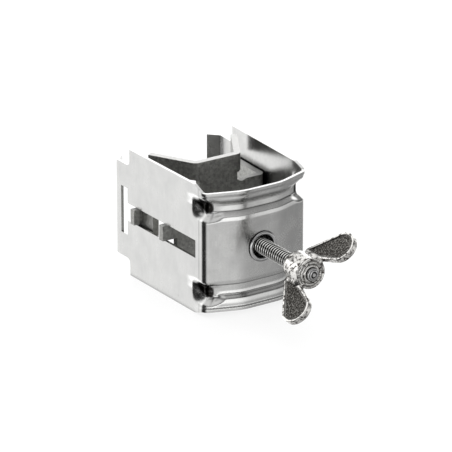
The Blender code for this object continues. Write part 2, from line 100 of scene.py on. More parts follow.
# Jaw
CUT_REACH = 5 * MM  # half the length of a cutting pin
JAW_SHEET = 3.3 * MM
JAW_Y = 39.2 * MM
JAW_HALF_HEIGHT = 32.8 * MM
JAW_BEND_X = 13.1 * MM
JAW_BEND_RADIUS = 3.8 * MM
ARM_FROM_Y_AXIS = radians(29.5)
ARM_LENGTH = 26.5 * MM
ARM_LOW_EDGE = 23.3 * MM
RELIEF_RADIUS = 2.8 * MM
RELIEF_X = 13.9 * MM
RELIEF_Z = 21 * MM
BAND_HALF_HEIGHT = 19 * MM
SIDE_GAP = 0.9 * MM
SIDE_END_Y = 67.8 * MM
WINDOW_X = 24.1 * MM
WINDOW_END_Y = 54.8 * MM
WINDOW_HALF_HEIGHT = 8.6 * MM
TAB_HALF_HEIGHT = 3.9 * MM
TAB_REACH = 2.2 * MM  # out of the walls
TAB_ROOT = 3 * MM  # into the plate
TAB_INSET = 0.02 * MM  # keeps the rear tabs off the side plates' ends
OVERLAP = 2 * MM  # of solids that are joined or cut
JAW_HOLE_RADIUS = 3.1 * MM
JAW_EDGE_ROUND = 0.3 * MM

# Bush, screw and wing head
GAP = 0.3 * MM
RIM_THICKNESS = 0.8 * MM
RIM_RADIUS = 7.8 * MM
BORE_RADIUS = 4.35 * MM
# The bush's mouth from the bore out to its rim: radius and distance behind the rim's face, in mm
BUSH_MOUTH = ((4.35, 2.6), (5.3, 1.5), (5.9, 0.5), (6.3, 0.1), (6.7, 0), (7.1, 0.04), (7.4, 0.2),
              (7.6, 0.4), (7.8, 0.5))
NUT_LENGTH = 8 * MM
NUT_RADIUS = 8.8 * MM
NUT_CHAMFER = 0.3 * MM
THREAD_RADIUS = 4 * MM
THREAD_DEPTH = 1.05 * MM
THREAD_PITCH = 1.75 * MM
CREST_FLAT = 0.12  # shares of the way from crest to root
THREAD_FLANK = 0.72
THREAD_CHAMFER = 0.9 * MM
SHANK_RADIUS = 3 * MM
NECK_RADIUS = 2.7 * MM
TAIL_Y = 46.6 * MM
WASHER_THICKNESS = 1 * MM
WASHER_RADIUS = 6.5 * MM
WASHER_CHAMFER = 0.2 * MM
SHOULDER_Y = JAW_Y - WASHER_THICKNESS - 2 * GAP
CLIP_Y = JAW_Y + JAW_SHEET + 2 * GAP + WASHER_THICKNESS
CLIP_THICKNESS = 0.8 * MM
CLIP_RADII = (4.6 * MM, 2.3 * MM)
CLIP_LOBE = 0.9 * MM
CLIP_HALF_MOUTH = radians(38)
CLIP_GROOVE_RADIUS = 2 * MM
CLIP_GROOVE_Y = (CLIP_Y - 0.1 * MM, CLIP_Y + 0.9 * MM)
HUB_RADIUS = 7.9 * MM
HUB_Y = (-42.4 * MM, -27.8 * MM)
HUB_FACE_PROUD = 0.1 * MM  # the middle of its face stands ahead of its edge
THREAD_START_Y = HUB_Y[1] + 0.5 * MM
RIVET_Y = HUB_Y[0] - HUB_FACE_PROUD - GAP
# The rivet's head from its middle out: radius and distance ahead of RIVET_Y, in mm; then its corners that
# get painted shade
RIVET_HEAD = ((0, 1.7), (0.9, 1.7), (1.15, 1.35), (1.5, 1.35), (1.8, 1.65), (2.3, 1.5), (2.45, 1.1),
              (2.8, 1.1), (3.1, 0.9), (3.3, 0.3), (3.3, 0))
RIVET_SHADE_RINGS = (2, 3, 6, 10)
# The hub in mm. Face: (radius, behind its front). Barrel: (inside HUB_RADIUS, behind its front). Rear:
# (inside HUB_RADIUS, ahead of its rear).
HUB_FACE = ((4.3, -0.1), (4.6, 0.5), (5, 0.5), (5.2, 0.05), (5.9, 0.1), (6.15, 0.7), (6.55, 0.7), (6.8, 0.1))
HUB_BARREL = ((0.5, 0), (0.15, 0.25), (0, 0.7), (0.05, 1.3), (0.45, 1.7), (0.35, 2.4), (0.25, 7))
HUB_REAR = ((0.35, 1.6), (0.8, 0.5), (1.6, 0))
WING_ANGLE = radians(45)
WING_THICKNESS = 3.2 * MM
WING_TIP = (18.3 * MM, -49 * MM)
WING_TIP_RADIUS = 7.7 * MM
WING_ROOT_Y = (-41 * MM, -30 * MM)
WING_ROOT_RADIUS = 9.4 * MM
WING_INSIDE = 4 * MM  # the wings start this far from the axis, inside the hub
ROOT_LUMP_AT = (6.6 * MM, -37.2 * MM, 0.0)
ROOT_LUMP_SIZE = (3.9 * MM, 5.3 * MM, 3 * MM)
WING_RIM = 1.3 * MM  # width of the raised rim round a wing face
# painted shade lines of the wing head: along the rims, in the grooves of the hub's face and behind its bead
RIM_SHADE_WIDTH = 0.35 * MM
HUB_FACE_SHADE_RADII = (4.8 * MM, 6.35 * MM)  # radii of the grooves in the face of the hub, which get painted shade lines
FACE_SHADE_WIDTH = 0.28 * MM
HUB_BEAD = 1.7 * MM  # the bead at the front of the hub ends here
BEAD_SHADE_WIDTH = 0.3 * MM
WING_HOLLOW = 0.45 * MM  # depth of a wing face below its rim
FACE_ROUGHNESS = 0.07 * MM
CAST_SWELL = 0.14 * MM  # height of the casting's low, wide lumps
CAST_VOXEL = 0.24 * MM

# View of the camera
VIEW_AZIMUTH = radians(33.2)  # the camera stands this far round to the left
VIEW_ELEVATION = radians(22.02)
VIEW_DISTANCE = 1.94175
VIEW_SHIFT_RIGHT = -17.75 * MM
VIEW_SHIFT_UP = 9.61 * MM
VIEW_LENS = 318.6

FLOOR_GLOW = 0.85  # share of the floor's light that no shadow can take
GLOW_GAIN = 1.08  # makes the floor nearly white

LIGHT_TARGET = (0.0, 0.0, 0.03)

# Studio as (sine of the elevation, tone), in front of the clamp and behind it
FRONT_TONES = ((-1, 0.8), (-0.8, 0.75), (-0.5, 0.9), (-0.28, 1), (-0.12, 2.6), (0, 2.4), (0.1, 0.25),
               (0.3, 0.3), (0.6, 0.95), (1, 1.2))
REAR_TONES = ((-1, 0.9), (-0.37, 1.5), (0, 1.8), (0.3, 2.7), (0.6, 1.6), (1, 1.2))
FULL_TONE = 3.0  # the colour ramps keep tones as shares of this

# Dark upright flag that the front corner mirrors
FLAG_TURN = radians(93)  # from -Y towards -X
FLAG_HALF_WIDTH = radians(36)
FLAG_SOFTNESS = 0.25  # blur of its edges, as a share of that
FLAG_TONE = 0.03


# ---- geometry helpers

def smooth_step(t):
    t = max(0.0, min(1.0, t))
    return t * t * (3.0 - 2.0 * t)


def spread(start, end, count):
    return [start + (end - start) * i / count for i in range(count + 1)]


def fillet(before, corner, after, radius, steps):
    """Points of the arc that rounds the corner of the path before-corner-after."""
    to_before = (before - corner).normalized()
    to_after = (after - corner).normalized()
    half = to_before.angle(to_after) / 2
    centre = corner + (to_before + to_after).normalized() * (radius / sin(half))
    start = corner + to_before * (radius / tan(half)) - centre
    end = corner + to_after * (radius / tan(half)) - centre
    turn = start.angle_signed(end)
    return [centre + Matrix.Rotation(-turn * i / steps, 2) @ start for i in range(steps + 1)]


def offset_left(path, distance):
    """The open path moved to its left by the distance, with mitred corners."""
    moved = []
    for i, point in enumerate(path):
        normals = []
        for a, b in ((i - 1, i), (i, i + 1)):
            if a >= 0 and b < len(path):
                along = (path[b] - path[a]).normalized()
                normals.append(Vector((-along.y, along.x)))
        normal = sum(normals, Vector((0.0, 0.0))).normalized()
        moved.append(point + normal * (distance / normal.dot(normals[0])))
    return moved


def mirrored_path(half):
    return [Vector((-p.x, p.y)) for p in reversed(half)] + half


def prism(outline, low, high):
    """An upright prism over an outline in plan."""
    bm = bmesh.new()
    bottom = [bm.verts.new((p.x, p.y, low)) for p in outline]
    top = [bm.verts.new((p.x, p.y, high)) for p in outline]
    bm.faces.new(bottom)
    bm.faces.new(list(reversed(top)))
    for i in range(len(outline)):
        j = (i + 1) % len(outline)
        bm.faces.new((bottom[i], top[i], top[j], bottom[j]))
    return bm


def box(x, y, z):
    return prism([Vector(p) for p in ((x[0], y[0]), (x[1], y[0]), (x[1], y[1]), (x[0], y[1]))], *z)


def turned(profile, closed=False, steps=96):
    """A body turned about the Y axis from (radius, y) points."""
    bm = bmesh.new()
    rings = []
    for radius, y in profile:
        count = 1 if radius == 0.0 else steps
        angles = [2 * pi * (k + 0.5) / steps for k in range(count)]
        rings.append([bm.verts.new((radius * cos(a), y, radius * sin(a))) for a in angles])
    pairs = list(zip(rings, rings[1:]))
    if closed:
        pairs.append((rings[-1], rings[0]))
    for ring, following in pairs:
        for k in range(steps):
            n = (k + 1) % steps
            quad = [ring[k % len(ring)], ring[n % len(ring)],
                    following[n % len(following)], following[k % len(following)]]
            bm.faces.new(list(dict.fromkeys(quad)))
    return bm


def pin(radius, steps=48):
    """A short round bar about the Y axis, to cut a hole with."""
    side = [(radius, -CUT_REACH), (radius, CUT_REACH)]
    return turned([(0.0, -CUT_REACH), *side, (0.0, CUT_REACH)], steps=steps)


def table_points(table, radius, y, signs=(1, 1)):
    """(radius, y) points from a table of offsets in mm."""
    return [(radius + signs[0] * across * MM, y + signs[1] * along * MM) for across, along in table]


def span(sign, a, b):
    return tuple(sorted((sign * a, sign * b)))


def put(obj, location, rotation):
    """Places a lamp or camera in the scene."""
    obj.location = location
    obj.rotation_mode = 'QUATERNION'
    obj.rotation_quaternion = rotation
    bpy.context.scene.collection.objects.link(obj)


def add_object(name, bm, material=None, sharp_angle=35.0):
    bmesh.ops.recalc_face_normals(bm, faces=bm.faces)
    mesh = bpy.data.meshes.new(name)
    bm.to_mesh(mesh)
    bm.free()
    obj = bpy.data.objects.new(name, mesh)
    obj.location = ORIGIN
    bpy.context.scene.collection.objects.link(obj)
    if material:
        mesh.materials.append(material)
    mesh.shade_smooth()
    mesh.set_sharp_from_angle(angle=radians(sharp_angle))
    return obj


def apply_modifiers(obj, tools=()):
    """Makes the evaluated mesh the object's own, and removes the helper objects."""
    graph = bpy.context.evaluated_depsgraph_get()
    mesh = bpy.data.meshes.new_from_object(obj.evaluated_get(graph))
    obj.modifiers.clear()
    obj.data = mesh
    for tool in tools:
        bpy.data.objects.remove(tool, do_unlink=True)


def cut(obj, steps):
    """Applies a list of (operation, mesh) Boolean steps."""
    tools = []
    for i, (operation, bm) in enumerate(steps):
        tool = add_object(f"{obj.name}_tool_{i}", bm)
        tools.append(tool)
        modifier = obj.modifiers.new(tool.name, 'BOOLEAN')
        modifier.operation = operation
        modifier.object = tool
        modifier.solver = 'EXACT'
    apply_modifiers(obj, tools)


def round_edges(obj, width, angle):
    """Rounds every edge that turns by more than the angle, in degrees."""
    bevel = obj.modifiers.new("edge_round", 'BEVEL')
    bevel.width = width
    bevel.segments = 2
    bevel.limit_method = 'ANGLE'
    bevel.angle_limit = radians(angle)
    bevel.harden_normals = True
    apply_modifiers(obj)
    obj.data.shade_smooth()


def stored(obj, name, values):
    """Keeps one number for each vertex, for a material to read."""
    attribute = obj.data.attributes.new(name, 'FLOAT', 'POINT')
    attribute.data.foreach_set("value", values)


def paint_shade_rings(obj, rings):
    """Stores 1 for each vertex on one of the (radius, y) rings that get painted shade, and 0 for the others.
    """
    marks = []
    for vertex in obj.data.vertices:
        away = hypot(vertex.co.x, vertex.co.z)
        on_ring = any(hypot(away - radius, vertex.co.y - y) < 0.05 * MM for radius, y in rings)
        marks.append(float(on_ring))
    stored(obj, "groove", marks)


# ---- material helpers

def rgba(colour):
    """A colour with its alpha. A plain number is a grey, and a socket stays as it is."""
    if isinstance(colour, float):
        colour = (colour,) * 3
    return (*colour, 1.0) if isinstance(colour, tuple) else colour


class Nodes:
    """A node tree whose nodes are added one by one."""

    def __init__(self, tree):
        self.tree = tree

    def set(self, node, inputs):
        for key, value in inputs.items():
            if isinstance(value, bpy.types.NodeSocket):
                self.tree.links.new(value, node.inputs[key])
            else:
                node.inputs[key].default_value = value

    def add(self, kind, inputs=None, **settings):
        node = self.tree.nodes.new("ShaderNode" + kind)
        for key, value in settings.items():
            setattr(node, key, value)
        self.set(node, inputs or {})
        return node

    def math(self, operation, a, b=0.0):
        return self.add("Math", {0: a, 1: b}, operation=operation).outputs[0]

    def ramp(self, value, low, high, out_low=0.0, out_high=1.0, smooth=False):
        """Maps low..high to out_low..out_high, held at both ends."""
        node = self.add("MapRange", {"Value": value, "From Min": low, "From Max": high,
                                     "To Min": out_low, "To Max": out_high},
                        clamp=True, interpolation_type='SMOOTHSTEP' if smooth else 'LINEAR')
        return node.outputs["Result"]


class Shader(Nodes):
    """A material round one Principled BSDF."""

    def __init__(self, name, colour, roughness, metallic=1.0):
        self.material = bpy.data.materials.new(name)
        self.material.use_nodes = True
        super().__init__(self.material.node_tree)
        self.principled = self.tree.nodes["Principled BSDF"]
        self.set(self.principled, {"Base Color": rgba(colour), "Roughness": roughness, "Metallic": metallic})

    def place(self, scale=(1.0, 1.0, 1.0)):
        """Object coordinates in millimetres, stretched by the scale."""
        coords = self.add("TexCoord")
        mapping = self.add("Mapping", {"Vector": coords.outputs["Object"],
                                       "Scale": [s / MM for s in scale]})
        return mapping.outputs["Vector"]

    def noise(self, scale, detail=3.0, stretch=(1.0, 1.0, 1.0), roughness=0.5):
        node = self.add("TexNoise", {"Vector": self.place(stretch), "Scale": scale, "Detail": detail,
                                     "Roughness": roughness})
        return node.outputs["Fac"]

    def mix(self, share, a, b):
        return self.add("Mix", {0: share, 6: rgba(a), 7: rgba(b)}, data_type='RGBA').outputs[2]

    def sheared(self):
        """How squarely the surface faces up or down, as the sheared edges of upright sheet do."""
        geometry = self.add("NewGeometry")
        rise = self.add("SeparateXYZ", {0: geometry.outputs["True Normal"]}).outputs[2]
        return self.ramp(self.math('ABSOLUTE', rise), 0.5, 0.9)

    def shaded_in_creases(self, colour, distance, low, high, dark):
        """The colour, going to the dark tone as painted shade deep in a crease, where ambient occlusion is
        low.
        """
        openness = self.add("AmbientOcclusion", {"Distance": distance}, samples=8).outputs["AO"]
        return self.mix(self.ramp(openness, low, high), dark, colour)

    def attribute(self, name):
        return self.add("Attribute", attribute_name=name).outputs["Fac"]

    def bump(self, height, distance, strength=1.0, after=None):
        inputs = {"Height": height, "Distance": distance, "Strength": strength}
        if after:
            inputs["Normal"] = after
        return self.add("Bump", inputs).outputs["Normal"]

    def surface(self, **inputs):
        names = {"colour": "Base Color", "roughness": "Roughness", "normal": "Normal"}
        self.set(self.principled, {names[key]: value for key, value in inputs.items()})
        return self.material


def sheet_metal():
    """Bright galvanised sheet: faint rolling lines, cloudy tone, painted shade in its creases, and the
    painted shade and painted highlights stored on its vertices.
    """
    shader = Shader("sheet_metal", (0.36, 0.36, 0.355), 0.3)
    clouds = shader.noise(0.12, 4.0)
    rolling = shader.noise(1.4, 2.0, stretch=(1.0, 1.0, 0.06))
    fine = shader.noise(3.5, 2.0)
    open_tone = shader.mix(shader.ramp(clouds, 0.3, 0.7), (0.455, 0.455, 0.45), (0.535, 0.535, 0.527))
    streaked = shader.mix(shader.ramp(rolling, 0.3, 0.75, 0.0, 0.25), open_tone, (0.58, 0.58, 0.57))
    # painted shade: darker deep in the creases, where ambient occlusion is low
    open_colour = shader.shaded_in_creases(streaked, 4 * MM, 0.2, 0.75, 0.03)
    # painted shade from the stored marks inside the corner dents and along the grooves, broken up by
    # blotches
    blotches = shader.ramp(shader.noise(0.45, 3.0), 0.3, 0.45)
    dark = shader.math('MULTIPLY', shader.attribute("dark"), shader.ramp(blotches, 0.0, 1.0, 0.8, 1.0))
    specks = shader.ramp(shader.noise(0.35, 2.0), 0.77, 0.8, 0.0, 0.8)
    # painted highlight from the stored marks on the rims of the corner dents
    with_painted_highlight = shader.mix(shader.attribute("painted_highlight"), open_colour, (0.93, 0.93, 0.92))
    # the near-black tone is both the painted shade and the colour of the real dark specks
    colour = shader.mix(shader.math('MAXIMUM', dark, specks), with_painted_highlight, (0.015, 0.014, 0.013))
    roughness = shader.ramp(shader.math('ADD', clouds, fine), 0.6, 1.4, 0.2, 0.3)
    normal = shader.bump(rolling, 0.006 * MM, 0.5)
    normal = shader.bump(fine, 0.008 * MM, 0.5, after=normal)
    return shader.surface(colour=colour, roughness=roughness, normal=normal)


def plate_metal():
    """Dull hot-galvanised plate: mottled grey with scuffed, lighter specks, and painted shade in its
    creases.
    """
    shader = Shader("plate_metal", (0.2, 0.2, 0.195), 0.5)
    mottle = shader.noise(0.7, 5.0, roughness=0.65)
    grit = shader.noise(2.6, 3.0, roughness=0.7)
    specks = shader.ramp(shader.noise(1.9, 4.0, roughness=0.75), 0.57, 0.66)
    base = shader.mix(shader.ramp(mottle, 0.35, 0.65), (0.24, 0.24, 0.23), (0.48, 0.48, 0.46))
    scuffed = shader.mix(shader.math('MULTIPLY', specks, 0.55), base, (0.8, 0.8, 0.77))
    cut_edge = shader.mix(shader.sheared(), scuffed, (0.5, 0.5, 0.49))
    # painted shade: darker deep in the creases
    colour = shader.shaded_in_creases(cut_edge, 6 * MM, 0.1, 0.7, 0.03)
    roughness = shader.ramp(mottle, 0.3, 0.7, 0.42, 0.6)
    normal = shader.bump(grit, 0.05 * MM, 0.6)
    return shader.surface(colour=colour, roughness=roughness, normal=normal)


def turned_metal(name, tone, roughness):
    """Machined and plated steel with fine turning rings about the screw axis, painted shade in its creases,
    and painted shade where rings are stored on its vertices.
    """
    shader = Shader(name, (tone, tone, tone * 0.98), roughness)
    rings = shader.noise(1.0, 3.0, stretch=(0.4, 3.0, 0.4))
    fine = shader.noise(5.0, 2.0)
    plated = shader.mix(shader.ramp(rings, 0.3, 0.7), tone * 0.85, tone * 1.12)
    # painted shade: darker deep in the creases
    open_tone = shader.shaded_in_creases(plated, 2 * MM, 0.15, 0.7, 0.02)
    # painted shade on the rings stored per vertex
    colour = shader.mix(shader.attribute("groove"), open_tone, 0.012)
    rough = shader.ramp(fine, 0.3, 0.7, roughness * 0.8, roughness * 1.3)
    normal = shader.bump(rings, 0.01 * MM, 0.5)
    return shader.surface(colour=colour, roughness=rough, normal=normal)


def thread_metal():
    """Rolled thread: bright crests, and roots painted near-black as shade."""
    shader = Shader("thread_metal", (0.6, 0.6, 0.58), 0.25)
    crest = shader.attribute("crest")
    wear = shader.noise(2.0, 3.0)
    # painted shade: near-black in the roots, bright on the crests
    colour = shader.mix(shader.ramp(crest, 0.66, 0.92), 0.003, (0.93, 0.93, 0.91))
    worn = shader.mix(shader.ramp(wear, 0.45, 0.75, 0.0, 0.35), colour, (0.3, 0.29, 0.27))
    roughness = shader.ramp(crest, 0.0, 1.0, 0.45, 0.2)
    normal = shader.bump(wear, 0.02 * MM, 0.5)
    return shader.surface(colour=worn, roughness=roughness, normal=normal)


def cast_metal():
    """Plated casting: dark wing faces with bright grains, rubbed rims, a polished, pitted hub, and painted
    shade lines along the rims and in the hub's grooves.
    """
    shader = Shader("cast_metal", (0.5, 0.5, 0.48), 0.3)
    grain_area = shader.attribute("grain")
    groove = shader.attribute("groove")
    grain = shader.noise(1.25, 2.0, roughness=0.7)
    fine = shader.noise(2.6, 2.0, roughness=0.7)
    pits = shader.noise(0.6, 4.0, roughness=0.65)
    sparkle = shader.math('MULTIPLY', shader.ramp(grain, 0.47, 0.6), shader.ramp(fine, 0.4, 0.6))
    polished = shader.mix(shader.ramp(pits, 0.4, 0.5), (0.05, 0.045, 0.04), (0.6, 0.59, 0.57))
    grainy = shader.mix(sparkle, (0.025, 0.023, 0.02), (0.34, 0.33, 0.31))
    face = shader.mix(grain_area, polished, grainy)
    # painted shade lines from the stored marks along the rims and in the hub's grooves
    colour = shader.mix(groove, face, (0.012, 0.011, 0.01))
    roughness = shader.ramp(grain_area, 0.0, 1.0, 0.2, 0.45)
    height = shader.math('MULTIPLY', grain, shader.ramp(grain_area, 0.0, 1.0, 0.1, 1.0))
    normal = shader.bump(height, 0.3 * MM, 0.6)
    normal = shader.bump(pits, 0.12 * MM, 0.5, after=normal)
    return shader.surface(colour=colour, roughness=roughness, normal=normal)


def dark_steel():
    """Blackened spring steel with rubbed spots."""
    shader = Shader("dark_steel", 0.08, 0.4)
    spots = shader.noise(1.5, 4.0)
    colour = shader.mix(shader.ramp(spots, 0.45, 0.7), 0.05, (0.2, 0.2, 0.19))
    normal = shader.bump(spots, 0.02 * MM, 0.5)
    return shader.surface(colour=colour, roughness=shader.ramp(spots, 0.3, 0.7, 0.35, 0.5), normal=normal)


# ---- folded body

def groove_share(height, heights):
    """How deep a groove is at this height, from 0 outside it to 1 on its floor."""
    inner_edge, inner_floor, lip_floor, lip_edge = heights
    return min(smooth_step((height - inner_edge) / (inner_floor - inner_edge)),
               smooth_step((lip_edge - height) / (lip_edge - lip_floor)))


def profile_share(height, profile):
    """The same for a groove given as corners, as FRONT_GROOVE_UPPER is."""
    for (low, share_low), (high, share_high) in zip(profile, profile[1:]):
        low, high = low * MM, high * MM
        if low <= height <= high:
            return share_low + (share_high - share_low) * (height - low) / (high - low)
    return 0.0


def wall_x(y):
    return CORNER_X + tan(WALL_FLARE) * (y - CORNER_Y)


def step_stations():
    """(y, height of the edge) round the inner corner of the rear step."""
    angles = [radians(a) for a in (0, 15, 30, 45, 60)]
    angles.append(acos(1 - (TALL_SLOT_Y[0] - WALL_END_Y) / STEP_RADIUS))
    angles.append(radians(90))
    return [(WALL_END_Y + STEP_RADIUS * (1 - cos(a)),
             STRIP_HALF_HEIGHT + STEP_RADIUS * (1 - sin(a))) for a in angles]


def top_edge(y):
    """Height of the body's edge ahead of the rear step."""
    start, end = LIP_SLOPE_Y
    climb = max(0.0, min(1.0, (y - start) / (end - start)))
    return LIP_HALF_HEIGHT + (BODY_HALF_HEIGHT - LIP_HALF_HEIGHT) * climb


def body_outline(front_depth, corner_depth):
    """Outer face in plan from the middle of the front to the free end of the right flange."""
    flare = tan(WALL_FLARE)
    middle = Vector((0.0, front_depth))
    bend = Vector((FACET_X - front_depth * tan(FACET_SLOPE / 2), front_depth))
    facet_rise = front_depth / cos(FACET_SLOPE)
    corner_x = CORNER_X - corner_depth + flare * (facet_rise - FACET_X * tan(FACET_SLOPE) - CORNER_Y)
    corner_x /= 1.0 - flare * tan(FACET_SLOPE)
    corner = Vector((corner_x, (corner_x - FACET_X) * tan(FACET_SLOPE) + facet_rise))
    along_wall = Vector((sin(WALL_FLARE), cos(WALL_FLARE)))
    inward = Vector((-sin(FACET_SLOPE), cos(FACET_SLOPE)))
    dent = max(0.0, corner_depth - front_depth)

    path = [middle + (bend - middle) * share for share in (0.25, 0.45)]
    path += fillet(middle, bend, corner, FACET_RADIUS, 5)
    corner_arc = fillet(bend, corner, corner + along_wall, CORNER_RADIUS, 12)
    run_start = path[-1]
    run = corner_arc[0] - run_start
    for back in FACET_STATIONS:
        share = 1.0 - back * MM / run.length
        push = dent * smooth_step(1.0 - back * MM / DENT_REACH)
        path.append(run_start + run * share + inward * push)
    for i, point in enumerate(corner_arc):
        path.append(point + inward * dent * (1.0 - i / (len(corner_arc) - 1)))

    wall_start = path[-1].y
    for start, end in ((wall_start, SLOT_START_Y), (SLOT_START_Y, GROOVE_END_Y)):
        for y in spread(start, end, 7)[1:]:
            fade = smooth_step((y - wall_start) / (GROOVE_END_Y - wall_start))
            path.append(Vector((wall_x(y) - corner_depth * (1.0 - fade), y)))
    stations = [y * MM for y in WALL_STATIONS] + [y for y, _ in step_stations()]
    path += [Vector((wall_x(y), y)) for y in stations + [TALL_SLOT_Y[1], STRIP_END_Y]]
    flange_corner = Vector((wall_x(FLANGE_Y), FLANGE_Y))
    along_flange = Vector((-sin(FLANGE_FROM_Y_AXIS), cos(FLANGE_FROM_Y_AXIS)))
    flange_end = flange_corner + along_flange * FLANGE_LENGTH
    path += fillet(path[-1], flange_corner, flange_end, FLANGE_RADIUS, 8)
    path += [flange_end - along_flange * 3 * MM, flange_end]
    return path


def body_levels():
    """Heights of the rows of the sheet, from mid height to the edge."""
    low = [0.0, SLOT_HALF_HEIGHT / 2, SLOT_HALF_HEIGHT, 8 * MM, TALL_SLOT_HALF_HEIGHT]
    grooves = spread(TALL_SLOT_HALF_HEIGHT, STEP_TOP, GROOVE_ROWS)[1:]
    lip = spread(STEP_TOP, BODY_HALF_HEIGHT, LIP_ROWS)[1:]
    return low + grooves + lip


def row_height(level, y):
    """Where a row runs at this y: the rows near an edge follow it."""
    if y > WALL_END_Y + EDGE_TOLERANCE:
        edges = [edge for station, edge in step_stations() if station <= y + EDGE_TOLERANCE]
        if level <= STRIP_BASE:
            return level
        climb = (min(level, STEP_TOP) - STRIP_BASE) * (edges[-1] - STRIP_BASE) / (STEP_TOP - STRIP_BASE)
        return STRIP_BASE + climb
    if level <= LIP_BASE:
        return level
    return LIP_BASE + (level - LIP_BASE) * (top_edge(y) - LIP_BASE) / (BODY_HALF_HEIGHT - LIP_BASE)


def is_cut_away(y, z):
    """Whether this spot of the flat sheet lies in a slot or behind the rear step."""
    height = abs(z)
    if SLOT_START_Y < y < TALL_SLOT_Y[0] and height < SLOT_HALF_HEIGHT:
        return True
    if TALL_SLOT_Y[0] < y < TALL_SLOT_Y[1] and height < TALL_SLOT_HALF_HEIGHT:
        return True
    return y > WALL_END_Y and height > STEP_TOP


def corner_distances(flat):
    """For each point of the path: its distance along the sheet from the nearer corner's middle, positive
    on the wall side."""
    lengths = [0.0]
    for a, b in zip(flat, flat[1:]):
        lengths.append(lengths[-1] + (b - a).length)
    half = lengths[-1] / 2
    to_corner = FACET_X + (CORNER_X - FACET_X) / cos(FACET_SLOPE) - CORNER_SAVING
    return [abs(length - half) - to_corner for length in lengths]


def line_share(away, width):
    """1 in the middle of a soft line, falling off with the distance from it."""
    return exp(-(away / width) ** 2)


def dent_distances(beyond, z):
    """Distances from the middles of the dents, as shares of their reach."""
    side = DENT_ON_WALL if beyond > 0 else DENT_ON_FACET
    return [hypot(beyond / side, (z - middle - DENT_LEAN * beyond) / reach)
            for middle, reach in DENT_SHADES]


def painted_shade_at(beyond, z):
    """How much painted shade the pressed sheet gets at this distance from the corner, and height."""
    creases = max(strength * line_share(z - height, CREASE_SHADE_WIDTH) for height, strength in CREASE_SHADES)
    creases *= smooth_step((CREASE_SHADE_FADE - beyond) / CREASE_SHADE_FADE)
    # painted shade line upright on the wall
    distance, width, strength = WALL_SHADE_LINE
    upright = strength * line_share(beyond - distance, width)
    # painted shade inside the corner dents
    hollows = [smooth_step((1.0 - away) / DENT_SHADE_SOFTNESS) for away in dent_distances(beyond, z)]
    return max(creases, upright, *hollows)


def dent_rim_highlight(beyond, z):
    """How far this spot lies on the painted highlight on the rim round the wall side of a corner dent."""
    rim, width = DENT_RIM_HIGHLIGHT
    start, fade = DENT_RIM_HIGHLIGHT_START
    painted_highlight = max(line_share(away - rim, width) for away in dent_distances(beyond, z))
    return painted_highlight * smooth_step((beyond - start) / fade)


def body_sheet():
    """The folded sheet as a grid of rows, with the slots left out and both faces joined round them."""
    half = body_levels()
    levels = [-level for level in reversed(half[1:])] + half
    flat = mirrored_path(body_outline(0.0, 0.0))
    rows = []
    for level in levels:
        height = abs(level)
        front_groove = FRONT_GROOVE_UPPER if level > 0 else FRONT_GROOVE_LOWER
        flare = -LIP_FLARE * smooth_step((height - CORNER_GROOVE[3]) / (LIP_HALF_HEIGHT - CORNER_GROOVE[3]))
        front_depth = FRONT_GROOVE_DEPTH * profile_share(height, front_groove) + flare
        corner_depth = CORNER_GROOVE_DEPTH * groove_share(height, CORNER_GROOVE) + flare
        outer = mirrored_path(body_outline(front_depth, corner_depth))
        inner = offset_left(outer, SHEET)
        heights = [copysign(row_height(height, p.y), level) for p in flat]
        rows.append((level, outer, inner, heights))

    bm = bmesh.new()
    # painted shade and painted highlight, stored per vertex for the sheet's material
    dark = bm.verts.layers.float.new("dark")
    painted_highlight = bm.verts.layers.float.new("painted_highlight")
    distances = corner_distances(flat)
    grids = ([], [])
    for level, outer, inner, heights in rows:
        for grid, path in zip(grids, (outer, inner)):
            grid.append([bm.verts.new((p.x, p.y, z)) for p, z in zip(path, heights)])
        for vertex, beyond in zip(grids[0][-1], distances):
            vertex[dark] = painted_shade_at(beyond, level)
            vertex[painted_highlight] = dent_rim_highlight(beyond, level)
    kept = set()
    for i in range(len(rows) - 1):
        middle_level = (rows[i][0] + rows[i + 1][0]) / 2
        for j in range(len(flat) - 1):
            if not is_cut_away((flat[j].y + flat[j + 1].y) / 2, middle_level):
                kept.add((i, j))
    outer, inner = grids
    sides = {(-1, 0): ((0, 0), (0, 1)), (1, 0): ((1, 1), (1, 0)),
             (0, -1): ((1, 0), (0, 0)), (0, 1): ((0, 1), (1, 1))}
    for i, j in kept:
        bm.faces.new((outer[i][j], outer[i][j + 1], outer[i + 1][j + 1], outer[i + 1][j]))
        bm.faces.new((inner[i + 1][j], inner[i + 1][j + 1], inner[i][j + 1], inner[i][j]))
        for (di, dj), (a, b) in sides.items():
            if (i + di, j + dj) not in kept:
                ai, aj, bi, bj = i + a[0], j + a[1], i + b[0], j + b[1]
                bm.faces.new((outer[bi][bj], outer[ai][aj], inner[ai][aj], inner[bi][bj]))
    loose = [v for v in bm.verts if not v.link_faces]
    bmesh.ops.delete(bm, geom=loose, context='VERTS')
    return bm


def make_body(material):
    body = add_object("folded_sheet", body_sheet(), material)
    cut(body, [('DIFFERENCE', pin(BUSH_HOLE_RADIUS, steps=64))])
    round_edges(body, SHEET_EDGE_ROUND, 50.0)
    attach(body, "clamp")
    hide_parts("clamp_body")


# ---- jaw

def jaw_outline(bend_x, end):
    """A plate across the clamp that bends back at bend_x on both sides, in plan."""
    middle = Vector((0.0, JAW_Y))
    bend = Vector((bend_x, JAW_Y))
    half = fillet(middle, bend, end, JAW_BEND_RADIUS, 10) + [end]
    front = mirrored_path(half)
    return front + list(reversed(offset_left(front, JAW_SHEET)))


def side_face_x(y):
    """Outer face of the jaw's side plates, which run along the walls."""
    return wall_x(y) - SHEET / cos(WALL_FLARE) - SIDE_GAP


